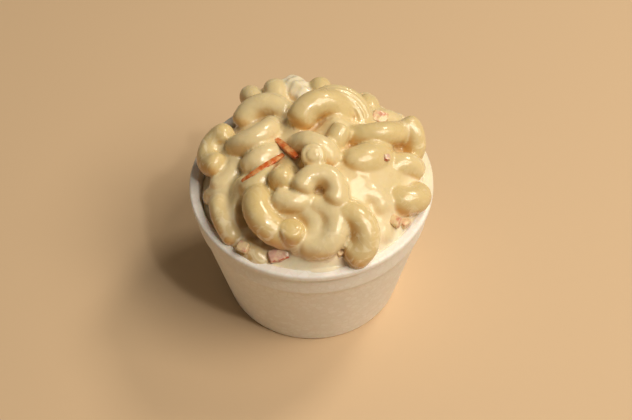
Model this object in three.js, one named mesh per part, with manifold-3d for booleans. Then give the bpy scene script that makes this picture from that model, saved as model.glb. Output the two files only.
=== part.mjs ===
// A squat white foam bowl heaped with macaroni salad: elbow macaroni in a thick dressing, with two shreds of
// carrot and some diced red pepper and ham. Millimetres, +Z up, the origin at the middle of the bowl's base.
import * as THREE from "three";
import { mergeVertices } from "three/addons/utils/BufferGeometryUtils.js";
import Module from "manifold-3d";

const wasm = await Module();
wasm.setup();

// ---- Driving dimensions -------------------------------------------------------------------------

// The bowl, a moulded foam container of a common squat size, about 7 fl oz.
const BOWL_HEIGHT = 55;
const LIP_RADIUS = 45.5;
const BASE_RADIUS = 33.5;
const LIP_HEIGHT = 2.8; // the rounded bead round the mouth
const LIP_OVERHANG = 0.9;
const LIP_WIDTH = 3.6;
const COLLAR_HEIGHT = 12; // from the mouth down to the small step in the wall
const STEP_DEPTH = 0.7;
const WALL = 2.2;
const FLOOR = 2.5;
const FOOT_ROUND = 1.4;
const RECESS_DEPTH = 1.2; // the base is hollowed inside its foot ring
const FOOT_RING = 4;
const BOWL_SIDES = 48;

// The elbow macaroni, cooked and coated.
const TUBE_RADIUS = 4.7;
const BEND_RADIUS = 8.6;
const TUBE_SIDES = 10;
const TUBE_STEPS = 6;
const END_STEPS = 2;

// The heap of salad.
const CORE_HEIGHT = 18.4; // the top of the packed salad under the elbows, above the mouth
const SALAD_SIDES = 32;
const SALAD_RINGS = 7;

const SHRED_STEPS = 8;
const GAP = 0.3; // between neighbouring solids

// ---- Small tools --------------------------------------------------------------------------------

const radians = THREE.MathUtils.degToRad;

// A closed geometry as a solid: shared corners are merged and the faces that collapse at a pole are dropped.
function solidOf(geometry) {
  const bare = new THREE.BufferGeometry();
  bare.setAttribute("position", geometry.getAttribute("position"));
  bare.setIndex(geometry.getIndex());
  const merged = mergeVertices(bare, 1e-3);
  const corners = merged.getIndex().array;
  const faces = [];
  for (let i = 0; i < corners.length; i += 3) {
    const [a, b, c] = [corners[i], corners[i + 1], corners[i + 2]];
    if (a !== b && b !== c && c !== a) faces.push(a, b, c);
  }
  return new wasm.Manifold(
    new wasm.Mesh({
      numProp: 3,
      vertProperties: new Float32Array(merged.getAttribute("position").array),
      triVerts: new Uint32Array(faces),
    }),
  );
}

function geometryOf(solid) {
  const mesh = solid.getMesh();
  const positions = new Float32Array(mesh.numVert * 3);
  for (let i = 0; i < mesh.numVert; i++) {
    positions.set(mesh.vertProperties.subarray(i * mesh.numProp, i * mesh.numProp + 3), i * 3);
  }
  const geometry = new THREE.BufferGeometry();
  geometry.setAttribute("position", new THREE.BufferAttribute(positions, 3));
  geometry.setIndex(new THREE.BufferAttribute(mesh.triVerts, 1));
  return geometry;
}

// The matrix that lays a piece down: its middle at a point, its length along a heading (in plan, from +X)
// and a pitch (above the horizon), and its own +Y turned by a roll about that length, from level.
function placed({ at: [x, y], up, heading = 0, pitch = 0, roll = 0 }) {
  const [h, p, r] = [heading, pitch, roll].map(radians);
  const along = new THREE.Vector3(Math.cos(h) * Math.cos(p), Math.sin(h) * Math.cos(p), Math.sin(p));
  const left = new THREE.Vector3(-Math.sin(h), Math.cos(h), 0);
  const over = new THREE.Vector3().crossVectors(along, left);
  const side = left.multiplyScalar(Math.cos(r)).addScaledVector(over, Math.sin(r));
  const normal = new THREE.Vector3().crossVectors(along, side);
  return new THREE.Matrix4().makeBasis(along, side, normal).setPosition(x, y, BOWL_HEIGHT + up);
}

// ---- The bowl -----------------------------------------------------------------------------------

const stepZ = BOWL_HEIGHT - COLLAR_HEIGHT;
const collarRadius = LIP_RADIUS - LIP_OVERHANG;
const collarTaper = 0.09; // mm of radius for each mm of height
const stepRadius = collarRadius - collarTaper * (COLLAR_HEIGHT - LIP_HEIGHT);
const lipInnerRadius = LIP_RADIUS - LIP_WIDTH;

// The radius of the inside of the wall at a height: a straight taper.
function innerRadius(z) {
  const share = (z - FLOOR) / (BOWL_HEIGHT - FLOOR);
  return THREE.MathUtils.lerp(BASE_RADIUS - WALL, lipInnerRadius, share);
}

function bowlGeometry() {
  const outline = new THREE.Path();
  outline.moveTo(0, RECESS_DEPTH);
  outline.lineTo(BASE_RADIUS - FOOT_ROUND - FOOT_RING, RECESS_DEPTH);
  outline.lineTo(BASE_RADIUS - FOOT_ROUND - FOOT_RING + RECESS_DEPTH, 0);
  outline.lineTo(BASE_RADIUS - FOOT_ROUND, 0);
  outline.quadraticCurveTo(BASE_RADIUS, 0, BASE_RADIUS + 0.2, FOOT_ROUND);
  outline.lineTo(stepRadius - STEP_DEPTH, stepZ - STEP_DEPTH);
  outline.lineTo(stepRadius, stepZ);
  outline.lineTo(collarRadius, BOWL_HEIGHT - LIP_HEIGHT);
  outline.lineTo(LIP_RADIUS, BOWL_HEIGHT - LIP_HEIGHT + 0.4);
  outline.quadraticCurveTo(LIP_RADIUS + 0.05, BOWL_HEIGHT, LIP_RADIUS - 1.3, BOWL_HEIGHT);
  outline.lineTo(lipInnerRadius + 0.8, BOWL_HEIGHT);
  outline.quadraticCurveTo(lipInnerRadius, BOWL_HEIGHT, lipInnerRadius, BOWL_HEIGHT - 0.9);
  outline.lineTo(innerRadius(FLOOR + 3), FLOOR + 3);
  outline.quadraticCurveTo(innerRadius(FLOOR), FLOOR, innerRadius(FLOOR) - 3, FLOOR);
  outline.lineTo(0, FLOOR);
  const profile = outline.getPoints(3);
  return new THREE.LatheGeometry(profile, BOWL_SIDES).rotateX(Math.PI / 2);
}

// ---- The macaroni -------------------------------------------------------------------------------

// One elbow: a straight round-ended tube along X, bent towards +Y. Its size scales all of it, and a bend
// below 1 is a tighter one.
function elbowGeometry({ sweep, size = 1, bend = 1 }) {
  const radius = TUBE_RADIUS * size;
  const bendRadius = BEND_RADIUS * size * bend;
  const length = radians(sweep) * bendRadius - 1.2 * radius;
  const geometry = new THREE.CapsuleGeometry(radius, length, END_STEPS, TUBE_SIDES, TUBE_STEPS);
  geometry.rotateZ(-Math.PI / 2);
  const point = geometry.getAttribute("position");
  for (let i = 0; i < point.count; i++) {
    const turn = point.getX(i) / bendRadius;
    const reach = bendRadius - point.getY(i);
    point.setXY(i, reach * Math.sin(turn), bendRadius - reach * Math.cos(turn));
  }
  return geometry;
}

// The elbows that show from the front, each placed by its middle: mm from the bowl's axis, and above
// its mouth.
const frontElbows = [
  // round the back edge, from the left
  { at: [-20, 31], up: 9.5, heading: -51, pitch: -10, roll: -69, sweep: 108, size: 0.95, bend: 0.96 },
  { at: [-12.5, 29], up: 13, heading: -77, pitch: -20, roll: -76, sweep: 106, bend: 0.95 },
  { at: [-4, 31.5], up: 13, heading: -55, pitch: -2, roll: -69, sweep: 100, size: 1.15, bend: 0.94 },
  { at: [4, 28.5], up: 14, heading: -96, pitch: -20, roll: -120, sweep: 107, size: 0.95 },
  { at: [22.5, 22.5], up: 11, heading: -86, pitch: -24, roll: -121, sweep: 107, size: 0.95, bend: 0.95 },
  { at: [28, 20.5], up: 10, heading: 8, pitch: -28, roll: -150, sweep: 117, size: 0.95, bend: 0.96 },
  // across the top
  { at: [-18, 25], up: 14, heading: 1, pitch: 13, roll: -148, sweep: 138, size: 1.08, bend: 0.94 },
  { at: [3, 17], up: 22, heading: 19, pitch: -10, roll: -168, sweep: 146, size: 1.15, bend: 0.95 },
  { at: [15, 21.5], up: 18, heading: -31, pitch: -15, roll: -113, sweep: 131, size: 1.08, bend: 0.93 },
  { at: [8.5, 1.5], up: 19, heading: -138, pitch: -50, roll: -122, sweep: 96, size: 0.85 },
  { at: [1, -2], up: 22, heading: -29, pitch: 3, roll: -97, sweep: 139, bend: 0.87 },
  { at: [0.5, -8], up: 20.5, heading: 139, pitch: -79, roll: -24, sweep: 95, size: 0.95 },
  { at: [3.5, -16.5], up: 20.5, heading: 6, pitch: -23, roll: -146, sweep: 183, bend: 0.87 },
  { at: [-7, -12.5], up: 19, heading: 41, pitch: -8, roll: -53, sweep: 105, size: 0.95 },
  // down the left side
  { at: [-36.5, 8.5], up: 10.5, heading: -105, pitch: -16, roll: -30, sweep: 142, bend: 0.97 },
  { at: [-20.5, 9], up: 16.5, heading: 24, pitch: 10, roll: -54, sweep: 115, size: 1.06 },
  { at: [-16, -2.5], up: 16.5, heading: 36, pitch: -2, roll: -77, sweep: 106 },
  { at: [-17.5, -12], up: 15, heading: 44, pitch: 8, roll: -60, sweep: 110, size: 0.95 },
  { at: [-27.5, -4], up: 11, heading: -102, pitch: -27, roll: -163, sweep: 135, bend: 0.93 },
  { at: [-31.5, -11], up: 5.5, heading: -14, pitch: 22, roll: -108, sweep: 106, size: 0.95 },
  { at: [-32, -24], up: 3.5, heading: -66, pitch: -16, roll: -38, sweep: 120 },
  { at: [-26.5, -18], up: 8, heading: -94, pitch: -29, roll: -106, sweep: 118, size: 0.95, bend: 1.07 },
  { at: [-21, -34.5], up: 1, heading: -38, pitch: -13, roll: -98, sweep: 105, size: 0.9 },
  // down the right side
  { at: [25, 5.5], up: 19, heading: 13, pitch: -7, roll: -52, sweep: 133, size: 1.03, bend: 1.11 },
  { at: [37, 9.5], up: 10.5, heading: -85, pitch: -35, roll: -100, sweep: 114, bend: 0.97 },
  { at: [21.5, -4.5], up: 17, heading: 20, pitch: -15, roll: -96, sweep: 123, size: 1.12 },
  { at: [32.5, -2.5], up: 10, heading: 19, pitch: -23, roll: -128, sweep: 139, bend: 0.95 },
  { at: [38.5, -11.5], up: 3.5, heading: 59, pitch: -7, roll: 39, sweep: 148, size: 0.98, bend: 1.04 },
  { at: [19, -20], up: 13, heading: 20, pitch: -16, roll: -143, sweep: 138, bend: 0.91 },
  { at: [28, -20], up: 5.5, heading: -84, pitch: -39, roll: 154, sweep: 123 },
  // down the front
  { at: [-7, -23], up: 15.5, heading: 4, pitch: -1, roll: -29, sweep: 97, size: 0.95, bend: 0.96 },
  { at: [-16.5, -30], up: 12.5, heading: -48, pitch: -21, roll: 6, sweep: 144, size: 1.12, bend: 0.91 },
  { at: [-4.5, -30.5], up: 11, heading: 35, pitch: -30, roll: 172, sweep: 106, size: 1.08 },
  { at: [6, -34.5], up: 11.5, heading: -115, pitch: -40, roll: 172, sweep: 168, size: 1.14, bend: 0.88 },
  { at: [18.5, -33.5], up: 9, heading: -77, pitch: -54, roll: -165, sweep: 163, size: 1.1, bend: 0.82 },
];

// The elbows round the back, which the photograph doesn't show.
const backElbows = [
  { at: [33.5, 19.5], up: 3, heading: 118, pitch: 5, roll: -150, sweep: 115 },
  { at: [26, 28.5], up: 2.5, heading: 135, pitch: 0, roll: 38, sweep: 120 },
  { at: [15, 32.5], up: 5.5, heading: 50, pitch: -32, roll: 150, sweep: 120 },
  { at: [7.5, 36], up: 4.5, heading: 168, pitch: 6, roll: -140, sweep: 115 },
  { at: [-5, 37], up: 4, heading: 186, pitch: -4, roll: 40, sweep: 115 },
  { at: [-16, 35.5], up: 3, heading: 200, pitch: 0, roll: -145, sweep: 110 },
];

function elbowSolid(elbow) {
  return solidOf(elbowGeometry(elbow).applyMatrix4(placed(elbow)));
}

// The dressing and the packed salad under the elbows that show: a lathed block that fills the bowl, with a
// domed top that is lower along the left wall, where the inside of the bowl shows.
function dressingLevel(share, azimuth) {
  const leftDip = Math.max(0, Math.cos(azimuth - radians(172))) ** 4;
  const frontLeftDip = Math.max(0, Math.cos(azimuth - radians(222))) ** 4;
  const edge = -0.4 - 6 * leftDip;
  const lumps = 0.7 * Math.cos(5 * azimuth + 7 * share) + 0.5 * Math.cos(3 * azimuth - 11 * share + 1);
  const flank = 3 - 0.9 * frontLeftDip;
  return edge + (CORE_HEIGHT - edge) * (1 - share ** flank) ** 0.85 + lumps * (1 - share) * share * 4;
}

function dressingSolid() {
  const bottom = FLOOR + GAP;
  const side = (z) => innerRadius(z) - GAP;
  const profile = [new THREE.Vector2(0, bottom), new THREE.Vector2(side(bottom) - 3, bottom)];
  profile.push(new THREE.Vector2(side(bottom + 3), bottom + 3));
  for (let ring = 0; ring <= SALAD_RINGS; ring++) {
    profile.push(new THREE.Vector2(side(BOWL_HEIGHT) * Math.sqrt(1 - ring / SALAD_RINGS), BOWL_HEIGHT));
  }
  const geometry = new THREE.LatheGeometry(profile, SALAD_SIDES).rotateX(Math.PI / 2);
  const point = geometry.getAttribute("position");
  for (let i = 0; i < point.count; i++) {
    if (point.getZ(i) < BOWL_HEIGHT - 1) continue;
    const [x, y] = [point.getX(i), point.getY(i)];
    const azimuth = Math.atan2(y, x);
    const share = Math.min(1, Math.hypot(x, y) / side(BOWL_HEIGHT));
    const z = BOWL_HEIGHT + dressingLevel(share, azimuth);
    const edgeZ = BOWL_HEIGHT + dressingLevel(1, azimuth);
    const reach = share * side(edgeZ);
    point.setXYZ(i, reach * Math.cos(azimuth), reach * Math.sin(azimuth), z);
  }
  return solidOf(geometry);
}

// What the heap must keep out of: the wall and the lip of the bowl, grown by the gap.
function bowlClearance() {
  const low = 10;
  const outside = LIP_RADIUS + 10;
  const outline = new THREE.Path();
  outline.moveTo(innerRadius(low) - GAP, low);
  outline.lineTo(outside, low);
  outline.lineTo(outside, BOWL_HEIGHT + GAP);
  outline.lineTo(lipInnerRadius + 0.8, BOWL_HEIGHT + GAP);
  outline.quadraticCurveTo(lipInnerRadius - GAP, BOWL_HEIGHT + GAP, lipInnerRadius - GAP, BOWL_HEIGHT - 0.9);
  outline.lineTo(innerRadius(low) - GAP, low);
  return new THREE.LatheGeometry(outline.getPoints(3), BOWL_SIDES).rotateX(Math.PI / 2);
}

// ---- The carrot and the diced pieces ------------------------------------------------------------

// Two flat shreds of carrot, each laid through points: mm from the bowl's axis, and above its mouth.
const carrotShreds = {
  carrot_shred_short: {
    through: [[-12.6, 5, 17.3], [-8.6, -2, 20.2], [-5, -6.8, 20.6]],
    width: 2.7,
    thickness: 1.4,
  },
  carrot_shred_long: {
    through: [[-24.8, -13.4, 15.3], [-20.5, -12, 18.2], [-15.6, -8.7, 19.2], [-9.9, -3.2, 18.2]],
    width: 2.1,
    thickness: 1.3,
  },
};

// A strip along a curve, narrowing a little at both ends, flat side up. It is grown all round for the
// clearance cut.
function shredGeometry({ through, width, thickness }, grown = 0) {
  const points = through.map(([x, y, up]) => new THREE.Vector3(x, y, BOWL_HEIGHT + up));
  const path = new THREE.CatmullRomCurve3(points);
  const geometry = new THREE.BoxGeometry(1, width + 2 * grown, thickness + 2 * grown, SHRED_STEPS, 1, 1);
  const point = geometry.getAttribute("position");
  for (let i = 0; i < point.count; i++) {
    const share = THREE.MathUtils.clamp(point.getX(i) + 0.5, 0, 1);
    const narrow = 1 - 0.35 * Math.abs(2 * share - 1) ** 3;
    const along = path.getTangentAt(share);
    const side = new THREE.Vector3(0, 0, 1).cross(along).normalize();
    const over = new THREE.Vector3().crossVectors(along, side);
    const end = share === 0 ? -grown : share === 1 ? grown : 0;
    const place = path.getPointAt(share).addScaledVector(along, end);
    place.addScaledVector(side, narrow * point.getY(i)).addScaledVector(over, point.getZ(i));
    point.setXYZ(i, place.x, place.y, place.z);
  }
  return geometry;
}

// Diced red pepper and ham, laid down like the elbows: blocks with their corners and edges drawn in.
const dicedPieces = {
  diced_pepper_front: { at: [-11.8, -36.3], up: 1.6, heading: 12, pitch: 8, roll: 24, size: [8, 5, 4.6] },
  diced_ham_front: { at: [10.3, -36.4], up: 3.4, heading: 30, pitch: 5, roll: 15, size: [4.2, 3.6, 3.4] },
  diced_ham_right: { at: [30.1, -24.6], up: 5.4, heading: -35, pitch: 10, roll: 20, size: [4.6, 4, 3.4] },
  diced_ham_lip: { at: [33.6, -22.3], up: 2, heading: 50, pitch: -4, roll: 6, size: [4.6, 3.8, 3] },
  diced_pepper_small: { at: [27.3, -5.6], up: 18.6, heading: 20, pitch: -20, roll: 20, size: [2.6, 2.6, 2.4] },
  diced_ham_back: { at: [25.8, 17.9], up: 14.6, heading: -15, pitch: -16, roll: 18, size: [6.2, 5, 3.2] },
  diced_pepper_left: { at: [-24.6, -34], up: 3.4, heading: -30, pitch: 0, roll: 20, size: [4.4, 4, 3.4] },
};

function dicedGeometry(piece, grown = 0) {
  const sides = piece.size.map((side) => side + 2 * grown);
  const geometry = new THREE.BoxGeometry(1, 1, 1, 2, 2, 2);
  const point = geometry.getAttribute("position");
  for (let i = 0; i < point.count; i++) {
    const unit = [point.getX(i), point.getY(i), point.getZ(i)];
    const facesMet = unit.filter((value) => Math.abs(value) > 0.4).length;
    const pull = facesMet === 3 ? 0.84 : facesMet === 2 ? 0.93 : 1;
    point.setXYZ(i, ...unit.map((value, axis) => value * sides[axis] * pull));
  }
  return geometry.applyMatrix4(placed(piece));
}

// ---- The object ---------------------------------------------------------------------------------

const salad = new THREE.Group();

function add(name, geometry, color, roughness) {
  const mesh = new THREE.Mesh(geometry, new THREE.MeshStandardMaterial({ color, roughness, metalness: 0 }));
  mesh.name = name;
  salad.add(mesh);
}

add("foam_bowl", bowlGeometry(), 0xf3f0ee, 0.6);

const shreds = Object.entries(carrotShreds);
const diced = Object.entries(dicedPieces);
const clearances = [
  bowlClearance(),
  ...shreds.map(([, shred]) => shredGeometry(shred, GAP)),
  ...diced.map(([, piece]) => dicedGeometry(piece, GAP)),
];
const heap = wasm.Manifold.union([dressingSolid(), ...[...frontElbows, ...backElbows].map(elbowSolid)]);
const trimmedHeap = heap.subtract(wasm.Manifold.union(clearances.map(solidOf)));
const [wholeHeap] = trimmedHeap.decompose().sort((one, other) => other.volume() - one.volume());
add("macaroni_heap", geometryOf(wholeHeap), 0xe6d39c, 0.35);

for (const [name, shred] of shreds) {
  add(name, shredGeometry(shred), 0xd9652b, 0.4);
}
for (const [name, piece] of diced) {
  const color = name.includes("ham") ? 0xc98a72 : 0xb5483a;
  add(name, dicedGeometry(piece), color, 0.35);
}

export default salad;
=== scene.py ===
# A squat white foam bowl heaped with macaroni salad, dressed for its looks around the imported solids.
import math

import bpy
import numpy as np
from mathutils import Matrix, Vector
from mathutils.bvhtree import BVHTree


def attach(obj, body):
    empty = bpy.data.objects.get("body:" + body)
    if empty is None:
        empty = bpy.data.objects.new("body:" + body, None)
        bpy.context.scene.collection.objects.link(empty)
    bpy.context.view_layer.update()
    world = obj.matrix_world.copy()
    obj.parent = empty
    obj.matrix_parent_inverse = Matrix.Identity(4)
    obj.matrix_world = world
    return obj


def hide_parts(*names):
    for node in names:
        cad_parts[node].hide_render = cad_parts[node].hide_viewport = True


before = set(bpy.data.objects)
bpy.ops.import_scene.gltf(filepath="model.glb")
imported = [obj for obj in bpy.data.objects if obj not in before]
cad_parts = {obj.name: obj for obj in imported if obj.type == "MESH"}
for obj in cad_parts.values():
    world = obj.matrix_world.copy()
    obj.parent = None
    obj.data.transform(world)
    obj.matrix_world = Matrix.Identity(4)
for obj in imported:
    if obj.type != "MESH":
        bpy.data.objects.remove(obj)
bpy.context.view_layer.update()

MM = 0.001

# ---- The view ---------------------------------------------------------------------------------------
# A long lens looks down on the front of the bowl from a little over half a metre away, about 50 degrees
# up, with the camera rolled by less than a degree.
SENSOR_WIDTH = 36
IMAGE_WIDTH_PX = 632
FOCAL_LENGTH_PX = 1600
camera_distance = 658.9 * MM
camera_elevation = math.radians(50.2)
camera_roll = math.radians(-0.75)
look_at = Vector((1.6, 31.5, 0)) * MM

bpy.ops.object.camera_add()
camera = bpy.context.object
camera.data.sensor_width = SENSOR_WIDTH
camera.data.lens = SENSOR_WIDTH * FOCAL_LENGTH_PX / IMAGE_WIDTH_PX
tilt = Matrix.Rotation(math.radians(90) - camera_elevation, 4, "X")
roll = Matrix.Rotation(camera_roll, 4, "Z")
back_off = Matrix.Translation((0, 0, camera_distance))
camera.matrix_world = Matrix.Translation(look_at) @ tilt @ roll @ back_off
bpy.context.scene.camera = camera

# ---- The studio -------------------------------------------------------------------------------------
# A plain pale floor, a broad soft window light high over the right front of the bowl, a smaller key light
# behind its right shoulder, a small one in front for the wet glints, and a weak warm light all round.
# Places and sizes are in metres, and the power of a light in watts.
LIGHTS_AIM = (0, 0, 60 * MM)
LIGHT_ALL_ROUND = 0.12
FLOOR_SIZE = 6


def linear(colour):
    """An sRGB hex colour as the linear RGBA that the shader sockets take."""
    shares = [int(colour[i:i + 2], 16) / 255 for i in (1, 3, 5)]
    return [s / 12.92 if s <= 0.04045 else ((s + 0.055) / 1.055) ** 2.4 for s in shares] + [1]


def add_node(tree, kind, inputs=None, **settings):
    """Adds a shader node. An input is given as a value, or as the output socket that feeds it."""
    node = tree.nodes.new("ShaderNode" + kind)
    for setting, value in settings.items():
        setattr(node, setting, value)
    for socket, value in (inputs or {}).items():
        if isinstance(value, bpy.types.NodeSocket):
            tree.links.new(value, node.inputs[socket])
        else:
            node.inputs[socket].default_value = value
    return node


def new_material(name):
    """A material with only its Principled shader and output, and the tree that its nodes go in."""
    material = bpy.data.materials.new(name)
    material.use_nodes = True
    tree = material.node_tree
    tree.nodes.clear()
    shader = add_node(tree, "BsdfPrincipled")
    add_node(tree, "OutputMaterial", {"Surface": shader.outputs[0]})
    return material, tree, shader


def feed(tree, shader, inputs):
    """Sets or links the inputs of a shader that is already there."""
    for socket, value in inputs.items():
        if isinstance(value, bpy.types.NodeSocket):
            tree.links.new(value, shader.inputs[socket])
        else:
            shader.inputs[socket].default_value = value


def soft_light(name, place, size, power, colour):
    """A square area light that faces the middle of the heap."""
    bpy.ops.object.light_add(type="AREA", location=place)
    light = bpy.context.object
    light.name = name
    light.data.size = size
    light.data.energy = power
    light.data.color = linear(colour)[:3]
    aim = Vector(LIGHTS_AIM) - Vector(place)
    light.rotation_euler = aim.to_track_quat("-Z", "Y").to_euler()


soft_light("window", (0.6, -0.3, 1.05), 0.7, 10.2, "#fff2de")
soft_light("key", (0.52, 0.42, 0.88), 0.22, 3.4, "#fff2de")
soft_light("glint", (0.27, -0.38, 0.8), 0.05, 1.0, "#fffaf2")
bpy.context.scene.view_settings.view_transform = "Standard"

world = bpy.data.worlds.new("studio")
bpy.context.scene.world = world
world.use_nodes = True
world.node_tree.nodes["Background"].inputs["Color"].default_value = linear("#f6e6cc")
world.node_tree.nodes["Background"].inputs["Strength"].default_value = LIGHT_ALL_ROUND

bpy.ops.mesh.primitive_plane_add(size=FLOOR_SIZE)
floor = bpy.context.object
floor.name = "floor"

# Matt emulsion paint: rough enough to give back only an even, warm glow.
floor_paint, tree, shader = new_material("matte_floor_paint")
feed(tree, shader, {"Base Color": linear("#d9bd9a"), "Roughness": 0.8})
floor.data.materials.append(floor_paint)

# ---- The foam bowl ----------------------------------------------------------------------------------
# Moulded bead foam (EPS): steam-fused beads in a steel mould, so the skin is smooth with the faint net
# of the bead joints. Its section is drawn ring by ring from the hollow of the base to the floor inside.
# Its sizes are in mm.
BOWL_SIDES = 192
BOWL_HEIGHT = 55
LIP_RADIUS = 45.5
BASE_RADIUS = 33.5
LIP_HEIGHT = 2.8
LIP_OVERHANG = 0.9
LIP_WIDTH = 3.6
LIP_ROUND_ACROSS = 1.3
LIP_ROUND_DOWN = 1.1
LIP_ROUND_INSIDE = 0.9
LIP_ROUND_UNDER = 0.9
UNDER_LIP_ROUND = 0.7
COLLAR_INSET = 0.25
COLLAR_HEIGHT = 12
COLLAR_TAPER = 0.09
STEP_DEPTH = 0.7
STEP_ROUND = 0.6
WALL = 2.2
FLOOR_THICKNESS = 2.5
FLOOR_CORNER = 3
HUB_RADIUS = 6
FOOT_ROUND = 1.4
RECESS_DEPTH = 1.2
FOOT_RING = 4
BEAD_SIZE = 2.6
SHEEN_PATCHES = 16.667

collar_radius = LIP_RADIUS - LIP_OVERHANG
step_z = BOWL_HEIGHT - COLLAR_HEIGHT
step_radius = collar_radius - COLLAR_TAPER * (COLLAR_HEIGHT - LIP_HEIGHT)
lip_inner_radius = LIP_RADIUS - LIP_WIDTH
foot_radius = BASE_RADIUS - FOOT_ROUND


def inner_radius(z):
    """The radius of the inside of the wall at a height, in mm."""
    share = (z - FLOOR_THICKNESS) / (BOWL_HEIGHT - FLOOR_THICKNESS)
    low = BASE_RADIUS - WALL
    return low + (lip_inner_radius - low) * share


def rounded(start, corner, end, steps=6):
    """Points of the curve that rounds a corner of the section, without its first."""
    start, corner, end = (np.array(point, float) for point in (start, corner, end))
    shares = np.linspace(0, 1, steps + 1)[1:]
    return [tuple((1 - s) ** 2 * start + 2 * s * (1 - s) * corner + s ** 2 * end) for s in shares]


def straight(start, end, steps):
    """Points along a straight stretch of the section, without its first."""
    start, end = np.array(start, float), np.array(end, float)
    return [tuple(start + (end - start) * s) for s in np.linspace(0, 1, steps + 1)[1:]]


lip_under = BOWL_HEIGHT - LIP_HEIGHT
section = [(HUB_RADIUS, RECESS_DEPTH)]
section += straight(section[-1], (foot_radius - FOOT_RING, RECESS_DEPTH), 3)
section += straight(section[-1], (foot_radius - FOOT_RING + RECESS_DEPTH, 0), 2)
section += straight(section[-1], (foot_radius, 0), 2)
section += rounded(section[-1], (BASE_RADIUS, 0), (BASE_RADIUS + 0.2, FOOT_ROUND))
section += straight(section[-1], (step_radius - STEP_DEPTH - 0.1, step_z - STEP_DEPTH - 0.2), 12)
section += rounded(section[-1], (step_radius - STEP_DEPTH, step_z - STEP_DEPTH),
                   (step_radius - STEP_DEPTH / 2, step_z - STEP_DEPTH / 2), 3)
section += rounded(section[-1], (step_radius, step_z), (step_radius + 0.05, step_z + STEP_ROUND), 3)
section += straight(section[-1], (collar_radius - COLLAR_INSET, lip_under - UNDER_LIP_ROUND), 5)
section += rounded(section[-1], (collar_radius - COLLAR_INSET, lip_under),
                   (collar_radius + 0.2, lip_under), 4)
section += rounded(section[-1], (LIP_RADIUS, lip_under), (LIP_RADIUS, lip_under + LIP_ROUND_UNDER), 5)
section += straight(section[-1], (LIP_RADIUS, BOWL_HEIGHT - LIP_ROUND_DOWN), 1)
section += rounded(section[-1], (LIP_RADIUS, BOWL_HEIGHT), (LIP_RADIUS - LIP_ROUND_ACROSS, BOWL_HEIGHT))
section += straight(section[-1], (lip_inner_radius + 0.8, BOWL_HEIGHT), 2)
section += rounded(section[-1], (lip_inner_radius, BOWL_HEIGHT),
                   (lip_inner_radius, BOWL_HEIGHT - LIP_ROUND_INSIDE), 5)
corner_z = FLOOR_THICKNESS + FLOOR_CORNER
section += straight(section[-1], (inner_radius(corner_z), corner_z), 8)
section += rounded(section[-1], (inner_radius(FLOOR_THICKNESS), FLOOR_THICKNESS),
                   (inner_radius(FLOOR_THICKNESS) - FLOOR_CORNER, FLOOR_THICKNESS))
section += straight(section[-1], (HUB_RADIUS, FLOOR_THICKNESS), 3)

bpy.ops.object.select_all(action="DESELECT")
bpy.ops.mesh.primitive_circle_add(vertices=BOWL_SIDES, radius=section[0][0] * MM, fill_type="TRIFAN",
                                  location=(0, 0, section[0][1] * MM))
bowl = bpy.context.object
bowl.name = "moulded_foam_bowl"
bpy.ops.object.transform_apply(location=True, rotation=True, scale=True)
bpy.ops.object.mode_set(mode="EDIT")
bpy.ops.mesh.select_mode(type="EDGE")
bpy.ops.mesh.select_all(action="DESELECT")
bpy.ops.mesh.select_non_manifold()
for (radius, z), (next_radius, next_z) in zip(section, section[1:]):
    bpy.ops.mesh.extrude_edges_move(TRANSFORM_OT_translate={"value": (0, 0, (next_z - z) * MM)})
    widen = next_radius / radius
    bpy.ops.transform.resize(value=(widen, widen, 1), center_override=(0, 0, next_z * MM))
bpy.ops.mesh.edge_face_add()
bpy.ops.mesh.poke()
bpy.ops.mesh.select_all(action="SELECT")
bpy.ops.mesh.normals_make_consistent(inside=False)
bpy.ops.object.mode_set(mode="OBJECT")
bpy.ops.object.shade_smooth_by_angle(angle=math.radians(50))

# Moulded bead foam: near white, each bead a shade of its own, with a slightly darker sunken joint round
# it; the skin is matt to silky in patches, and lets a little light in.
foam, tree, shader = new_material("moulded_bead_foam")
place = add_node(tree, "TexCoord").outputs["Object"]
beads = add_node(tree, "TexVoronoi", {"Vector": place, "Scale": 1 / (BEAD_SIZE * MM)},
                 feature="DISTANCE_TO_EDGE")
joints = add_node(tree, "MapRange", {"Value": beads.outputs["Distance"], "From Max": 0.12})
cells = add_node(tree, "TexVoronoi", {"Vector": place, "Scale": 1 / (BEAD_SIZE * MM)})
cell_share = add_node(tree, "SeparateColor", {"Color": cells.outputs["Color"]})
cloudy = add_node(tree, "TexNoise", {"Vector": place, "Scale": 1 / (SHEEN_PATCHES * MM), "Detail": 3})
bead_tint = add_node(tree, "Mix", {"Factor": cell_share.outputs["Red"], "A": linear("#f3efe9"),
                                   "B": linear("#faf8f4")}, data_type="RGBA")
joint_tint = add_node(tree, "Mix", {"Factor": joints.outputs["Result"], "A": linear("#f1ede6"),
                                    "B": bead_tint.outputs[2]}, data_type="RGBA")
bump = add_node(tree, "Bump", {"Height": joints.outputs["Result"], "Strength": 0.08,
                               "Distance": 0.08 * MM})
dull = add_node(tree, "MapRange", {"Value": cloudy.outputs[0], "To Min": 0.45, "To Max": 0.62})
feed(tree, shader, {"Base Color": joint_tint.outputs[2], "Roughness": dull.outputs["Result"],
                    "Normal": bump.outputs["Normal"], "IOR": 1.5,
                    "Subsurface Weight": 0.12, "Subsurface Scale": 2 * MM})
bowl.data.materials.append(foam)
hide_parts("foam_bowl")
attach(bowl, "root")

# ---- The heap: macaroni in its dressing ---------------------------------------------------------------
# Cooked elbow macaroni tossed in a thick creamy dressing. Each elbow is a tube drawn out of a ball, bent
# and laid where it lies in the heap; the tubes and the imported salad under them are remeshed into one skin,
# and the skin then settles on them as a dressing does, filling the creases between the tubes.

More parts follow.
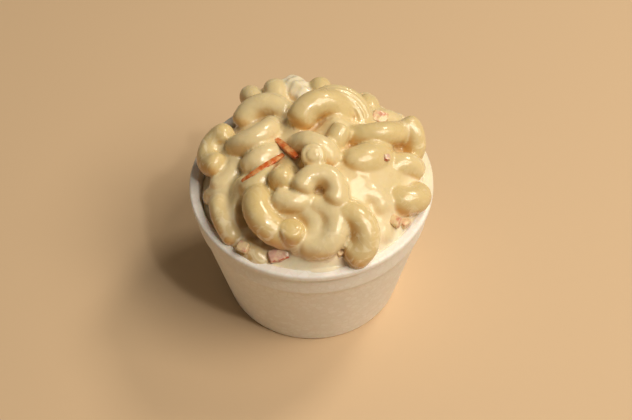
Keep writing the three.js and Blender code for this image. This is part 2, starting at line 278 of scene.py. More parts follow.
# In mm: the radius of an ordinary tube and that of its bend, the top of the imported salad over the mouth,
# the height down to which the heap is modelled, how much the skin swells before it settles and the size
# of its mesh, and how far the salad stays off the wall below and reaches into it above. Then the share
# of a tube's radius that its round ends take off its length, and how far its pull on the skin is felt.
TUBE_RADIUS = 4.7
BEND_RADIUS = 8.6
CORE_HEIGHT = 18.4
HEAP_CUT = 46
SKIN = 0.6
SKIN_MESH = 0.5
GAP = 0.3
REACH_INTO_WALL = 0.15
ROUND_ENDS = 1.2
PULL_REACH = 3

# x, y and height above the mouth (mm); heading, pitch, roll and sweep (degrees); size and bend (shares).
elbows = {
    # round the back edge, from the left
    "back_far_left": (-20, 31, 9.5, -51, -10, -69, 108, 0.95, 0.96),
    "back_left": (-12.5, 29, 13, -77, -20, -76, 106, 1, 0.95),
    "white_lump": (-4, 31.5, 13, -55, -2, -69, 100, 1.15, 0.94),
    "back_middle": (4, 28.5, 14, -96, -20, -120, 107, 0.95, 1),
    "back_right": (22.5, 22.5, 11, -86, -24, -121, 107, 0.95, 0.95),
    "back_far_right": (28, 20.5, 10, 8, -28, -150, 117, 0.95, 0.96),
    # across the top
    "top_left_arch": (-18, 25, 14, 1, 13, -148, 138, 1.08, 0.94),
    "top_big": (3.4, 17.7, 22.9, 20, -9, -124, 138, 1.15, 0.95),
    "ridged": (14.1, 22.1, 18.7, -24, -23, -148, 124, 1.06, 1.09),
    "end_up": (8.5, 1.5, 19, -138, -50, -122, 96, 0.85, 1),
    "middle_arch": (1, -2, 22, -29, 3, -97, 139, 1, 0.87),
    "ring_end": (0.5, -8, 20.5, 139, -79, -24, 95, 0.95, 1),
    "upturned_u": (5.2, -16.1, 20.8, -19, -12, -158, 220, 0.92, 0.78),
    "ball_middle": (-9.2, -7.9, 14.7, 89, -31, -8, 42, 0.98, 3.78),
    # down the left side
    "left_c": (-37.5, 6.5, 8.7, -102, -9, 38, 187, 1, 0.8),
    "left_capsule": (-18.9, 5.7, 18.8, 35, 3, -46, 175, 0.92, 1),
    "under_carrot": (-17.4, -3, 16.4, 35, 1, -71, 135, 0.98, 0.74),
    "below_carrot": (-17.5, -12, 15, 44, 8, -60, 110, 0.95, 1),
    "left_arc": (-27.8, -1.4, 9.5, -96, -8, -161, 176, 0.9, 0.98),
    "left_lip": (-32.6, -10.5, 5.7, -7, 16, -79, 122, 0.78, 0.97),
    "left_upright": (-32.2, -21.7, 4, -69, -11, -35, 56, 0.84, 2.47),
    "left_inner": (-27.2, -19.7, 2.8, -70, -16, -56, 120, 0.85, 1.23),
    "front_lip": (-20.5, -33.5, -1, -38, -13, -98, 105, 0.9, 1),
    # down the right side
    "right_long": (25, 5.5, 19, 13, -7, -52, 133, 0.97, 1.15),
    "right_upright": (38.5, 9.6, 11.8, -79, -50, -157, 89, 0.9, 1.21),
    "right_bulb": (21.5, -4, 16.1, 39, -20, -50, 104, 1.34, 0.83),
    "right_lump": (33.9, -2.5, 11, 13, -15, -98, 144, 1, 0.64),
    "right_rim": (36, -15.6, 6.1, 26, -15, -17, 158, 1.12, 0.56),
    "right_faint": (19.9, -17.1, 11.4, 4, -6, -140, 205, 0.95, 0.59),
    "right_low": (24.9, -21.9, 5, -100, -23, -37, 88, 0.88, 1.42),
    # down the front
    "front_ellipse": (-6.6, -24.1, 16.2, 2, -3, -23, 111, 0.92, 0.81),
    "front_left": (-17.9, -29.2, 13.3, -56, -20, -29, 164, 1.12, 0.91),
    "front_ball": (-6.7, -33.3, 7.8, 51, -61, 101, 87, 0.96, 1.07),
    "front_arch": (8.5, -32.6, 10.5, -104, -28, -175, 229, 1.04, 0.8),
    "front_inner": (1, -32, 9.3, -108, -32, -179, 190, 0.88, 0.78),
    "front_right": (19.1, -32.7, 9.8, -74, -39, -156, 169, 1.1, 0.83),
    # behind, where the view does not reach
    "behind_right": (33.5, 19.5, 3, 118, 5, -150, 115, 1, 1),
    "behind_right_low": (26, 28.5, 2.5, 135, 0, 38, 120, 1, 1),
    "behind_top": (15, 32.5, 5.5, 50, -32, 150, 120, 1, 1),
    "behind_middle": (7.5, 36, 4.5, 168, 6, -140, 115, 1, 1),
    "behind_left": (-5, 37, 4, 186, -4, 40, 115, 1, 1),
    "behind_far_left": (-16, 35.5, 3, 200, 0, -145, 110, 1, 1),
}


class Elbow:
    """An elbow laid in the heap: its middle, its own axes as rows, and its sizes, in mm."""

    def __init__(self, x, y, up, heading, pitch, roll, sweep, size, bend):
        h, p, r = (math.radians(angle) for angle in (heading, pitch, roll))
        along = Vector((math.cos(h) * math.cos(p), math.sin(h) * math.cos(p), math.sin(p)))
        left = Vector((-math.sin(h), math.cos(h), 0))
        side = left * math.cos(r) + along.cross(left) * math.sin(r)
        self.axes = np.array([along, side, along.cross(side)])
        self.middle = np.array([x, y, BOWL_HEIGHT + up])
        self.radius = TUBE_RADIUS * size
        self.bend_radius = BEND_RADIUS * size * bend
        self.half_length = (math.radians(sweep) * self.bend_radius - ROUND_ENDS * self.radius) / 2
        self.reach = self.half_length + 2 * self.radius + PULL_REACH


laid = {name: Elbow(*row) for name, row in elbows.items()}

bpy.ops.object.select_all(action="DESELECT")
bpy.ops.mesh.primitive_uv_sphere_add(segments=20, ring_count=24, radius=1)
ball = bpy.context.object
ball_points = np.array([vertex.co for vertex in ball.data.vertices])


def draw_out(elbow, grown):
    """The ball's points drawn out along the elbow, bent and laid in the heap, in mm."""
    radius = elbow.radius + grown
    width = np.hypot(ball_points[:, 0], ball_points[:, 1])
    around = ball_points[:, :2] / np.maximum(width, 1e-6)[:, None]
    latitude = np.arctan2(ball_points[:, 2], width) * 2 / math.pi
    run = latitude * (elbow.half_length + radius * math.pi / 2)
    past_end = np.clip((np.abs(run) - elbow.half_length) / radius, 0, math.pi / 2)
    along = np.clip(run, -elbow.half_length, elbow.half_length) + np.sign(run) * radius * np.sin(past_end)
    across = around * (radius * np.cos(past_end))[:, None]
    turn = along / elbow.bend_radius
    arm = elbow.bend_radius - across[:, 0]
    bent = np.stack([arm * np.sin(turn), elbow.bend_radius - arm * np.cos(turn), -across[:, 1]], axis=1)
    return bent @ elbow.axes + elbow.middle


tubes = []
for name, elbow in laid.items():
    tube = bpy.data.objects.new(name, ball.data.copy())
    bpy.context.collection.objects.link(tube)
    tube.data.vertices.foreach_set("co", (draw_out(elbow, SKIN) * MM).ravel())
    tubes.append(tube)
bpy.data.objects.remove(ball)


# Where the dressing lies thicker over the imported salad, and where it is open down to it: x, y, depth and
# half width, in mm.
pools = [(30, -8, 2.6, 9), (21, -14, 1.2, 9), (8, -20, 1.5, 7), (-9, -27.5, 3, 4.5), (1, -29, 2, 4),
         (14, 8, 1.8, 7), (9, 11, 2.6, 5), (0, -6, 1, 14), (-25.6, -12.4, 5.5, 4.5), (38.5, -5.6, 2, 5),
         (-29.8, -24.4, 2.5, 4), (-27.4, -18.9, 2, 4), (4, -38.5, 1.1, 6), (12.2, -30.4, 0.7, 4)]
hollows = [(13.3, 4.1, 8, 2), (-25.5, -19.5, 4.5, 1.8), (-24.0, -23.5, 5.5, 2.2), (-20.8, -28.9, 4, 2.2),
           (-15.7, -32.3, 3, 2.6), (-11.8, -36.8, 2, 4.5), (10.3, -36.4, 2.6, 2.4)]


def packed_level(x, y):
    """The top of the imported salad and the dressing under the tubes, in mm above the mouth."""
    azimuth = np.arctan2(y, x)
    share = np.minimum(np.hypot(x, y) / (lip_inner_radius - GAP), 1)
    left_dip = np.maximum(0, np.cos(azimuth - math.radians(172))) ** 4
    front_left_dip = np.maximum(0, np.cos(azimuth - math.radians(222))) ** 4
    edge = -0.4 - 6 * left_dip
    lumps = 0.7 * np.cos(5 * azimuth + 7 * share) + 0.5 * np.cos(3 * azimuth - 11 * share + 1)
    flank = 3 - 0.9 * front_left_dip
    dome = (CORE_HEIGHT - edge) * (1 - share ** flank) ** 0.85
    level = edge + dome + lumps * (1 - share) * share * 4
    for pool_x, pool_y, depth, width in pools:
        level = level + depth * np.exp(-((x - pool_x) ** 2 + (y - pool_y) ** 2) / width ** 2)
    for hollow_x, hollow_y, depth, width in hollows:
        level = level - depth * np.exp(-((x - hollow_x) ** 2 + (y - hollow_y) ** 2) / width ** 2)
    return level


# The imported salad: a fine grid drawn in to the bowl's round, raised to its level and pulled down solid.
core_reach = lip_inner_radius - GAP
bpy.ops.mesh.primitive_grid_add(x_subdivisions=100, y_subdivisions=100, size=2 * core_reach * MM)
core = bpy.context.object
points = np.array([vertex.co for vertex in core.data.vertices]) / MM
from_axis = np.hypot(points[:, 0], points[:, 1])
points[:, :2] *= np.minimum(1, core_reach / np.maximum(from_axis, 1e-6))[:, None]
points[:, 2] = BOWL_HEIGHT + packed_level(points[:, 0], points[:, 1]) + SKIN
core.data.vertices.foreach_set("co", (points * MM).ravel())
bpy.ops.object.mode_set(mode="EDIT")
bpy.ops.mesh.select_all(action="SELECT")
bpy.ops.mesh.extrude_region_move()
bpy.ops.transform.resize(value=(1, 1, 0), center_override=(0, 0, (HEAP_CUT - 4) * MM))
bpy.ops.mesh.select_all(action="SELECT")
bpy.ops.mesh.normals_make_consistent(inside=False)
bpy.ops.object.mode_set(mode="OBJECT")

for tube in tubes:
    tube.select_set(True)
core.select_set(True)
bpy.context.view_layer.objects.active = core
bpy.ops.object.join()
heap = core
heap.name = "macaroni_salad"
skin = heap.modifiers.new("skin", "REMESH")
skin.mode = "VOXEL"
skin.voxel_size = SKIN_MESH * MM
bpy.ops.object.modifier_apply(modifier="skin")
bpy.ops.object.mode_set(mode="EDIT")
bpy.ops.mesh.select_all(action="SELECT")
bpy.ops.mesh.bisect(plane_co=(0, 0, HEAP_CUT * MM), plane_no=(0, 0, 1), clear_inner=True)
bpy.ops.object.mode_set(mode="OBJECT")

# How wide the dressing fills a crease (mm), left and right; how square the ends of the elbows are, whole
# and cut, and how much they are shortened; the radius of the bore as a share of the tube's; and how deep
# small pieces are bedded and how steeply their bed rises round them.
CREASE_LEFT = 0.4
CREASE_RIGHT = 0.55
END_BLUNTNESS = 2.6
CUT_BLUNTNESS = 4
END_SHORT = 1.08
BORE = 0.6
BEDDED = 0.5
BED_SLOPE = 2.5
small_pieces = [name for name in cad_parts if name.startswith(("carrot_", "diced_"))]

# Where a thick coat of dressing joins the elbows: x, y, how much wider the creases are, and its half width.
coats = [(5, -32, 0.6, 6), (24, -19, 0.2, 8), (11, 14, 0.4, 6), (22.2, -31.8, 0.7, 6), (-30, -19, 0.5, 6),
         (12.2, -30.4, 0.2, 4)]

# How pale the dressing leaves an elbow: 0 is bare and golden, 1 is well coated, and 2 is white with it.
washed = {"white_lump": 2, "front_ball": 0, "front_left": 0.2, "ball_middle": 0.35, "left_c": 0.25,
          "right_rim": 0.2, "top_big": 0.4, "right_long": 0.4, "right_upright": 0.3, "right_bulb": 0.45,
          "front_right": 0.3, "left_capsule": 0.9, "middle_arch": 0.9, "upturned_u": 0.8,
          "front_ellipse": 0.9, "top_left_arch": 0.9, "left_arc": 1, "left_lip": 1, "front_arch": 0.9,
          "front_inner": 1, "right_faint": 1, "right_low": 1, "ring_end": 0.8, "under_carrot": 0.9}

# Relief of single elbows, in mm: the number of ridges and their depth; the angle round the tube and the
# depth of a crease along it; how far a torn surface goes in and out; and the end (1 or -1) where the
# filled bore shows, with the depth of its ring. A crease's half width is in radians, and a ring's is a
# share of the tube's radius.
GROOVE_HALF_WIDTH = 0.13
RING_HALF_WIDTH = 0.12
ridges = {"ridged": (17, 0.5)}
grooves = {"front_arch": (100, 0.6)}
torn = {"white_lump": 0.35}
open_ends = {"ring_end": (-1, 0.5), "front_ball": (-1, 0.15), "end_up": (-1, 0.2), "right_long": (-1, 0.2),
             "behind_top": (1, 0.4)}


def creaminess(points):
    """How wide the dressing fills a crease: wider to the right, and most where a coat of it lies thick."""
    share = np.clip((points[:, 0] - 5) / 25, 0, 1)
    crease = CREASE_LEFT + (CREASE_RIGHT - CREASE_LEFT) * share
    for coat_x, coat_y, extra, width in coats:
        away = (points[:, 0] - coat_x) ** 2 + (points[:, 1] - coat_y) ** 2
        crease = crease + extra * np.exp(-away / width ** 2)
    return crease


def tube_distance(points, name):
    """How far points lie outside an elbow, with its own relief, and which way that falls off."""
    elbow = laid[name]
    local = (points - elbow.middle) @ elbow.axes.T
    turn = np.arctan2(local[:, 0], elbow.bend_radius - local[:, 1])
    limit = elbow.half_length / elbow.bend_radius
    end = np.sign(turn)
    turn = np.clip(turn, -limit, limit)
    sine, cosine = np.sin(turn), np.cos(turn)
    line = elbow.bend_radius * np.stack([sine, 1 - cosine, 0 * turn], axis=1)
    offset = local - line
    length = np.linalg.norm(offset, axis=1)
    outward = offset[:, 0] * sine - offset[:, 1] * cosine
    upward = offset[:, 2]
    past_end = np.abs(offset[:, 0] * cosine + offset[:, 1] * sine)
    from_line = np.hypot(outward, upward)
    power = CUT_BLUNTNESS if name in open_ends else END_BLUNTNESS
    blunt = (from_line ** power + (past_end * END_SHORT) ** power) ** (1 / power)
    distance = blunt - elbow.radius
    around = np.arctan2(upward, outward)
    if name in ridges:
        count, depth = ridges[name]
        distance += depth / 2 * np.cos(count * around) * (past_end < 0.5)
    if name in grooves:
        angle, depth = grooves[name]
        off = np.angle(np.exp(1j * (around - math.radians(angle))))
        distance += depth * np.exp(-(off / GROOVE_HALF_WIDTH) ** 2) * (past_end < 0.5)
    if name in torn:
        x, y, z = points.T
        distance += torn[name] * np.sin(0.9 * x + 0.6 * z) * np.sin(1.1 * y - 0.7 * z + 1)
    if name in open_ends:
        which, depth = open_ends[name]
        rim = (from_line / elbow.radius - BORE) / RING_HALF_WIDTH
        distance += depth * np.exp(-rim ** 2) * (past_end > 1) * (end * which > 0)
    return distance, offset @ elbow.axes / np.maximum(length, 1e-6)[:, None]


def dressed_heap(points):
    """The skin's distance and slope at points, and for each: share of dressing, nearest elbow, offset."""
    crease = creaminess(points)
    x, y, z = points.T
    step = 0.2
    level = packed_level(x, y)
    slope_x = (packed_level(x + step, y) - level) / step
    slope_y = (packed_level(x, y + step) - level) / step
    steep = np.sqrt(1 + slope_x ** 2 + slope_y ** 2)
    core_distance = (z - BOWL_HEIGHT - level) / steep
    core_slope = np.stack([-slope_x, -slope_y, np.ones_like(x)], axis=1) / steep[:, None]
    pull = np.exp(-core_distance / crease)
    total = pull.copy()
    slope = core_slope * pull[:, None]
    strongest = np.zeros_like(x)
    nearest = np.zeros(len(points), int)
    offset = np.zeros_like(points)
    for index, (name, elbow) in enumerate(laid.items()):
        near = np.linalg.norm(points - elbow.middle, axis=1) < elbow.reach
        distance, direction = tube_distance(points[near], name)
        pull = np.exp(-distance / crease[near])
        total[near] += pull
        slope[near] += direction * pull[:, None]
        better = pull > strongest[near]
        where = np.flatnonzero(near)[better]
        strongest[where] = pull[better]
        nearest[where] = index
        offset[where] = direction[better]
    return -crease * np.log(total), slope / total[:, None], 1 - strongest / total, nearest, offset


# The skin settles: each point moves along the slope until it lies on the dressed surface.
SETTLING_STEPS = 10
LONGEST_STEP = 0.8
points = np.array([vertex.co for vertex in heap.data.vertices]) / MM
free = points[:, 2] > HEAP_CUT + 0.05
for _ in range(SETTLING_STEPS):
    distance, slope, dressing, nearest, offset = dressed_heap(points[free])
    steepness = np.maximum((slope ** 2).sum(axis=1), 0.25)
    points[free] -= slope * np.clip(distance / steepness, -LONGEST_STEP, LONGEST_STEP)[:, None]


def keep_in_bowl(points):
    """Brings points that lie in the wall back inside it, and those in the lip up onto it."""
    from_axis = np.hypot(points[:, 0], points[:, 1])
    wall = inner_radius(points[:, 2]) + REACH_INTO_WALL
    top = BOWL_HEIGHT - REACH_INTO_WALL
    inside_wall = (points[:, 2] < top) & (from_axis > wall)
    lift = inside_wall & (top - points[:, 2] < from_axis - wall)
    push = inside_wall & ~lift
    points[lift, 2] = top
    points[push, :2] *= (wall[push] / from_axis[push])[:, None]


def sink_round(points, dressing, node):
    """Lowers the dressing over and close round a packed shred or dice, so that it lies bedded in it."""
    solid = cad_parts[node]
    tree = BVHTree.FromObject(solid, bpy.context.evaluated_depsgraph_get())
    corners = np.array([vertex.co for vertex in solid.data.vertices]) / MM
    low, high = corners.min(axis=0) - 2, corners.max(axis=0) + (2, 2, 3)
    for index in np.flatnonzero(((points > low) & (points < high)).all(axis=1)):
        closest = np.array(tree.find_nearest(Vector(points[index]) * MM)[0]) / MM
        above = points[index, 2] - closest[2]
        bed = closest[2] - BEDDED + BED_SLOPE * math.dist(points[index][:2], closest[:2])
        share = max(dressing[index], 1 - np.clip((above - 0.6) / 1.2, 0, 1))
        points[index, 2] += share * min(0, bed - points[index, 2])


dressing_share = np.zeros(len(points))
dressing_share[free] = dressing ** 2
for node in small_pieces:
    sink_round(points, dressing_share, node)
keep_in_bowl(points)
heap.data.vertices.foreach_set("co", (points * MM).ravel())

# The dressing evens out, with a slight unevenness left in the coat.
lumps = bpy.data.textures.new("dressing_lumps", "CLOUDS")
lumps.noise_scale = 5 * MM
lumps.noise_depth = 2
soft = heap.modifiers.new("soft", "SMOOTH")
soft.iterations = 3
bpy.ops.object.modifier_apply(modifier="soft")
uneven = heap.modifiers.new("uneven", "DISPLACE")
uneven.texture = lumps
uneven.texture_coords = "LOCAL"
uneven.strength = 0.4 * MM
uneven.mid_level = 0.5
bpy.ops.object.modifier_apply(modifier="uneven")

# Down inside the bowl the salad is a plain block: the cut edge is drawn down the wall and closed.
block_levels = [30, 14, corner_z, FLOOR_THICKNESS + GAP]
block_radii = [inner_radius(z) - GAP for z in block_levels[:-1]]
block_radii += [inner_radius(FLOOR_THICKNESS) - FLOOR_CORNER]
bpy.ops.object.mode_set(mode="EDIT")
bpy.ops.mesh.select_mode(type="EDGE")
bpy.ops.mesh.select_all(action="DESELECT")
bpy.ops.mesh.select_non_manifold()
last_z, last_radius = HEAP_CUT, inner_radius(HEAP_CUT) + REACH_INTO_WALL
for z, radius in zip(block_levels, block_radii):
    bpy.ops.mesh.extrude_edges_move(TRANSFORM_OT_translate={"value": (0, 0, (z - last_z) * MM)})
    bpy.ops.transform.resize(value=(radius / last_radius,) * 2 + (1,), center_override=(0, 0, z * MM))
    last_z, last_radius = z, radius
bpy.ops.mesh.edge_face_add()
bpy.ops.mesh.poke()
bpy.ops.mesh.select_all(action="SELECT")
bpy.ops.mesh.normals_make_consistent(inside=False)
bpy.ops.object.mode_set(mode="OBJECT")
bpy.ops.object.shade_smooth()

# A smear of dressing lies on the right of the lip, between two azimuths in degrees, with a ragged outer
# edge that beds into the foam.
SMEAR_FROM = -20
SMEAR_TO = 34
SMEAR_DEPTH = 0.55
SMEAR_FILM = 0.9
SMEAR_INSIDE = 1.2
SMEAR_TUCKED = 1.3
smear_width = LIP_WIDTH + 0.6
salad_points = len(heap.data.vertices)
bpy.ops.mesh.primitive_grid_add(x_subdivisions=140, y_subdivisions=18, size=1)
smear = bpy.context.object
along, out, _ = (np.array([vertex.co for vertex in smear.data.vertices]) + 0.5).T
azimuth = np.radians(SMEAR_FROM + (SMEAR_TO - SMEAR_FROM) * along)
from_axis = lip_inner_radius - SMEAR_INSIDE + smear_width * out
rounding = np.sqrt(np.clip((LIP_RADIUS - from_axis) / LIP_ROUND_ACROSS, 0, 1))
lip_top = BOWL_HEIGHT - LIP_ROUND_DOWN * (1 - rounding) ** 2
outer_edge = 0.88 + 0.07 * np.sin(11 * azimuth + 1) + 0.05 * np.sin(23 * azimuth)
outer_edge -= 0.8 * (2 * along - 1) ** 6
to_end = 5 - 6 * np.abs(2 * along - 1) - 1.4 * out
cover = np.clip(np.minimum((outer_edge - out) * 4, to_end), -2.4, 1)
height = SMEAR_DEPTH * cover * (1 + 0.25 * np.sin(7 * azimuth + 5 * out))
height -= SMEAR_TUCKED * np.clip(1 - 4 * out, 0, 1) ** 2
points = np.stack([from_axis * np.cos(azimuth), from_axis * np.sin(azimuth), lip_top + height], axis=1)
smear.data.vertices.foreach_set("co", (points * MM).ravel())
film = smear.modifiers.new("film", "SOLIDIFY")
film.thickness = SMEAR_FILM * MM
bpy.ops.object.modifier_apply(modifier="film")
bpy.ops.object.shade_smooth()
heap.select_set(True)
bpy.context.view_layer.objects.active = heap
bpy.ops.object.join()

# What the finish needs to know of each point: how much of it is dressing, how far it lies on the side of
# its elbow away from the key light, to be painted as shade, a tint of its elbow's own, and how much of the
# sky over it the heap hides, to be painted as shade in the crevices. The sky is a spiral of rays that reach
# a little over a centimetre.
SHADE_SIDE = np.array([-0.62, -0.58, -0.53])
draw = np.random.default_rng(7)
elbow_tints = 0.35 + 0.4 * draw.random(len(laid))
points = np.array([vertex.co for vertex in heap.data.vertices]) / MM
_, _, dressing, nearest, offset = dressed_heap(points)
dressing[salad_points:] = 1
for name, tint in washed.items():
    elbow_tints[list(laid).index(name)] = tint
SKY_RAYS = 12
SKY_REACH = 14
golden_angle = math.pi * (3 - math.sqrt(5))
sky = []
for ray in range(SKY_RAYS):
    height = 1 - (ray + 0.5) / SKY_RAYS
    level = math.sqrt(1 - height * height)
    sky.append(Vector((level * math.cos(golden_angle * ray), level * math.sin(golden_angle * ray), height)))
heap_tree = BVHTree.FromObject(heap, bpy.context.evaluated_depsgraph_get())
# Painted shade: the share of the sky hidden over each point, which the finish paints darker in the crevices.
crevice_shade = np.zeros(len(points))
for vertex in heap.data.vertices:
    if vertex.co.z > HEAP_CUT * MM:
        start = vertex.co + vertex.normal * 0.3 * MM
        blocked = [heap_tree.ray_cast(start, way, SKY_REACH * MM)[0] is not None for way in sky]
        crevice_shade[vertex.index] = sum(blocked) / SKY_RAYS
for name, values in {"dressing": dressing, "painted_shade_side": offset @ SHADE_SIDE, "tint": elbow_tints[nearest],
                     "crevice_shade": crevice_shade}.items():
    attribute = heap.data.attributes.new(name, "FLOAT", "POINT")
    attribute.data.foreach_set("value", values.astype(np.float32))

# Boiled macaroni in a creamy dressing: golden where it is bare and pale where the dressing coats it, with
# painted shade that turns it amber on the side of each elbow away from the key light and amber to dark brown
# down in the crevices, and painted light that makes the dressing palest at the rim. Soft inside, so light
# bleeds through it, under a thin wet film that gives small sharp glints. Its patterns, by size in mm:
# blotches in the dressing, clouds in the painted amber shade, patches of thin coat on the elbows, and the
# grain.
BLOTCHES = 6.6667
CLOUDS = 22.222
COAT_PATCHES = 5.2632
GRAIN = 2
salad, tree, shader = new_material("macaroni_in_creamy_dressing")
place = add_node(tree, "TexCoord").outputs["Object"]
share_of_dressing = add_node(tree, "Attribute", attribute_name="dressing").outputs["Fac"]
painted_shade_side = add_node(tree, "Attribute", attribute_name="painted_shade_side").outputs["Fac"]
tint = add_node(tree, "Attribute", attribute_name="tint").outputs["Fac"]
blotches = add_node(tree, "TexNoise", {"Vector": place, "Scale": 1 / (BLOTCHES * MM),
                                       "Detail": 3}).outputs[0]
clouds = add_node(tree, "TexNoise", {"Vector": place, "Scale": 1 / (CLOUDS * MM), "Detail": 2}).outputs[0]
crevice_shade = add_node(tree, "Attribute", attribute_name="crevice_shade").outputs["Fac"]
# Painted shade: amber grows on the side of each elbow away from the key light and, less, in the crevices.
painted_shade_amount = add_node(tree, "Math", {0: crevice_shade, 1: 0.45, 2: painted_shade_side}, operation="MULTIPLY_ADD").outputs[0]
uneven_painted_shade = add_node(tree, "Math", {0: clouds, 1: 0.5, 2: painted_shade_amount},
                            operation="MULTIPLY_ADD").outputs[0]
painted_amber_shade_share = add_node(tree, "MapRange", {"Value": uneven_painted_shade, "From Min": 0.35, "From Max": 1.1,
                                          "To Max": 0.95}, interpolation_type="SMOOTHSTEP").outputs[0]
bare_share = add_node(tree, "MapRange", {"Value": tint, "To Min": 1, "To Max": 0.65}).outputs[0]
shown_painted_amber_shade = add_node(tree, "Math", {0: painted_amber_shade_share, 1: bare_share}, operation="MULTIPLY").outputs[0]
pasta = add_node(tree, "Mix", {"Factor": tint, "A": linear("#d7be80"), "B": linear("#e6d5a9")},
                 data_type="RGBA").outputs[2]
paleness = add_node(tree, "MapRange", {"Value": tint, "From Min": 1, "From Max": 2}).outputs[0]
paled = add_node(tree, "Mix", {"Factor": paleness, "A": pasta, "B": linear("#f3ead0")},
                 data_type="RGBA").outputs[2]
# Painted shade: the pasta is mixed towards amber by the painted shade share worked out above.
pasta_with_painted_shade = add_node(tree, "Mix", {"Factor": shown_painted_amber_shade, "A": paled, "B": linear("#cc9029")},
                     data_type="RGBA").outputs[2]
open_cream = add_node(tree, "Mix", {"Factor": blotches, "A": linear("#e2cd9a"), "B": linear("#ebdab0")},
                      data_type="RGBA").outputs[2]
# Painted light: the dressing is made paler from 34 to 40 mm out, so that it looks more brightly lit at the
# rim.
from_middle = add_node(tree, "VectorMath", {0: place, 1: (1, 1, 0)}, operation="MULTIPLY").outputs[0]
out_to_rim = add_node(tree, "VectorMath", {0: from_middle}, operation="LENGTH").outputs["Value"]
painted_rim_light_share = add_node(tree, "MapRange", {"Value": out_to_rim, "From Min": 34 * MM,
                                           "From Max": 40 * MM}).outputs[0]
cream_with_painted_rim_light = add_node(tree, "Mix", {"Factor": painted_rim_light_share, "A": open_cream, "B": linear("#fff4d8")},
                        data_type="RGBA").outputs[2]
# Painted shade: the dressing turns dark brown where the heap hides much of the sky over it.
painted_crevice_shade_share = add_node(tree, "MapRange", {"Value": crevice_shade, "From Min": 0.55, "From Max": 0.95,
                                            "To Max": 0.85}).outputs[0]
cream_with_painted_shade = add_node(tree, "Mix", {"Factor": painted_crevice_shade_share, "A": cream_with_painted_rim_light, "B": linear("#a4682a")},
                 data_type="RGBA").outputs[2]
cream_share = add_node(tree, "MapRange", {"Value": share_of_dressing, "From Min": 0.15, "From Max": 0.75,
                                          "To Min": 0.12, "To Max": 0.9}).outputs[0]
coat = add_node(tree, "TexNoise", {"Vector": place, "Scale": 1 / (COAT_PATCHES * MM), "Detail": 2,
                                   "Distortion": 1.5}).outputs[0]
coat_share = add_node(tree, "MapRange", {"Value": coat, "From Min": 0.5, "From Max": 0.66,
                                         "To Max": 0.55}).outputs[0]
coated_share = add_node(tree, "Math", {0: cream_share, 1: coat_share}, operation="MAXIMUM").outputs[0]
colour = add_node(tree, "Mix", {"Factor": coated_share, "A": pasta_with_painted_shade, "B": cream_with_painted_shade},
                  data_type="RGBA").outputs[2]
grain = add_node(tree, "TexNoise", {"Vector": place, "Scale": 1 / (GRAIN * MM), "Detail": 2}).outputs[0]
bump = add_node(tree, "Bump", {"Height": grain, "Strength": 0.2, "Distance": 0.1 * MM}).outputs[0]
gloss = add_node(tree, "MapRange", {"Value": blotches, "To Min": 0.2, "To Max": 0.36}).outputs[0]
feed(tree, shader, {"Base Color": colour, "Roughness": gloss, "Normal": bump, "IOR": 1.45,
                    "Subsurface Weight": 0.35, "Subsurface Radius": (1.0, 0.8, 0.4),
                    "Subsurface Scale": 2.5 * MM, "Coat Weight": 0.5, "Coat Roughness": 0.06})
heap.data.materials.clear()
heap.data.materials.append(salad)
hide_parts("macaroni_heap")
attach(heap, "root")

# ---- The carrot and the diced pieces --------------------------------------------------------------------
# Raw vegetables and ham, cut small, wet, and part covered by the dressing. Each keeps the place and the
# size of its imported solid: the copy is merged, remeshed fine, and softened so its cut edges round off.
FILM_PATCHES = 2.2


def softened(node, name, finish, slot, mesh_size, roundings, wear, wear_size):
    """Adds a soft-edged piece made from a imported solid, with wear on its cut faces, in mm."""
    bpy.ops.object.select_all(action="DESELECT")
    piece = bpy.data.objects.new(name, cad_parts[node].data.copy())
    bpy.context.collection.objects.link(piece)
    piece.select_set(True)
    bpy.context.view_layer.objects.active = piece
    bpy.ops.object.mode_set(mode="EDIT")
    bpy.ops.mesh.select_all(action="SELECT")
    bpy.ops.mesh.remove_doubles(threshold=0.01 * MM)
    bpy.ops.object.mode_set(mode="OBJECT")
    fine = piece.modifiers.new("fine", "REMESH")
    fine.mode = "VOXEL"
    fine.voxel_size = mesh_size * MM
    soft = piece.modifiers.new("soft", "SMOOTH")
    soft.iterations = roundings
    worn = piece.modifiers.new("worn", "DISPLACE")
    worn.texture = bpy.data.textures.new(name + "_wear", "CLOUDS")
    worn.texture.noise_scale = wear_size * MM
    worn.texture_coords = "LOCAL"
    worn.strength = wear * MM
    worn.mid_level = 0.45
    for modifier in ("fine", "soft", "worn"):
        bpy.ops.object.modifier_apply(modifier=modifier)
    bpy.ops.object.shade_smooth()
    piece.data.materials.clear()
    piece.data.materials.append(finish)
    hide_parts(node)
    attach(piece, "root")


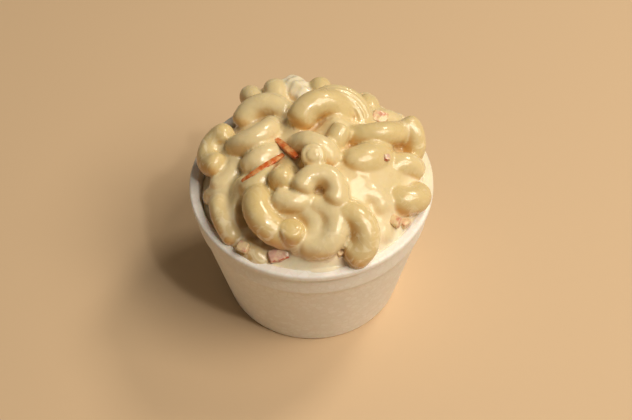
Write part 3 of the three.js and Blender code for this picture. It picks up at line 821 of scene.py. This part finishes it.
def wet_cut_food(name, flesh, skin, film, film_share, grain_size):
    """The finish of a wet cut piece: mottled flesh, skin on the side that faces down and forward, and a
    broken film of dressing."""
    material, tree, shader = new_material(name)
    place = add_node(tree, "TexCoord").outputs["Object"]
    facing = add_node(tree, "TexCoord").outputs["Normal"]
    mottle = add_node(tree, "TexNoise", {"Vector": place, "Scale": 1 / (grain_size * MM),
                                         "Detail": 3}).outputs[0]
    skin_way = add_node(tree, "VectorMath", {0: facing, 1: (-0.3, -0.75, -0.6)}, operation="DOT_PRODUCT")
    skin_edge = add_node(tree, "Math", {0: skin_way.outputs["Value"], 1: mottle},
                         operation="ADD").outputs[0]
    skin_share = add_node(tree, "MapRange", {"Value": skin_edge, "From Min": 0.62,
                                             "From Max": 0.92}).outputs[0]
    flesh_tint = add_node(tree, "Mix", {"Factor": mottle, "A": linear(flesh[0]), "B": linear(flesh[1])},
                          data_type="RGBA").outputs[2]
    cut = add_node(tree, "Mix", {"Factor": skin_share, "A": flesh_tint, "B": linear(skin)},
                   data_type="RGBA").outputs[2]
    patches = add_node(tree, "TexNoise", {"Vector": place, "Scale": 1 / (FILM_PATCHES * MM),
                                          "Detail": 2}).outputs[0]
    film_from = add_node(tree, "MapRange", {"Value": patches, "From Min": 0.62 - 0.4 * film_share,
                                            "From Max": 0.85 - 0.4 * film_share}).outputs[0]
    film_amount = add_node(tree, "Math", {0: film_from, 1: 0.9}, operation="MULTIPLY").outputs[0]
    colour = add_node(tree, "Mix", {"Factor": film_amount, "A": cut, "B": linear(film)},
                      data_type="RGBA").outputs[2]
    bump = add_node(tree, "Bump", {"Height": mottle, "Strength": 0.4, "Distance": 0.15 * MM}).outputs[0]
    feed(tree, shader, {"Base Color": colour, "Roughness": 0.28, "Normal": bump, "IOR": 1.4,
                        "Subsurface Weight": 0.25, "Subsurface Radius": (1.0, 0.35, 0.2),
                        "Subsurface Scale": 1.5 * MM, "Coat Weight": 0.4, "Coat Roughness": 0.08})
    return material


# Raw carrot is orange all through. The diced pepper has pale wet flesh with red skin on its front side, and
# the ham is pink with a browner edge. All are glossy and let light in, and the dressing that films them
# leaves the carrot barest and the ham palest.
carrot = wet_cut_food("raw_carrot", ("#bd4e1a", "#dd7c3a"), "#b5481a", "#dfae72", 0.4, 1.0)
pepper = wet_cut_food("diced_red_pepper", ("#cb9a8a", "#e4c4b2"), "#c2451f", "#f0dcba", 0.5, 1.5)
covered_pepper = wet_cut_food("covered_red_pepper", ("#d39a84", "#e2b8a0"), "#cf8a66", "#eed9ac",
                              0.75, 1.5)
ham = wet_cut_food("diced_ham", ("#cf8c72", "#dda98c"), "#c2754e", "#eed9ac", 0.8, 1.5)

# How each is cut: the mesh size, the rounds of smoothing, the depth of the wear and the size of its dents.
SHREDDED = (0.22, 4, 0.2, 1.8)
DICED = (0.25, 6, 0.35, 2.2)
for node in ("carrot_shred_short", "carrot_shred_long"):
    softened(node, "raw_" + node, carrot, "carrot", *SHREDDED)
for node in ("diced_pepper_front", "diced_pepper_small"):
    softened(node, "cut_" + node, pepper, "red_pepper", *DICED)
softened("diced_pepper_left", "cut_diced_pepper_left", covered_pepper, "red_pepper", *DICED)
for node in ("diced_ham_front", "diced_ham_right", "diced_ham_lip", "diced_ham_back"):
    softened(node, "cut_" + node, ham, "ham", *DICED)
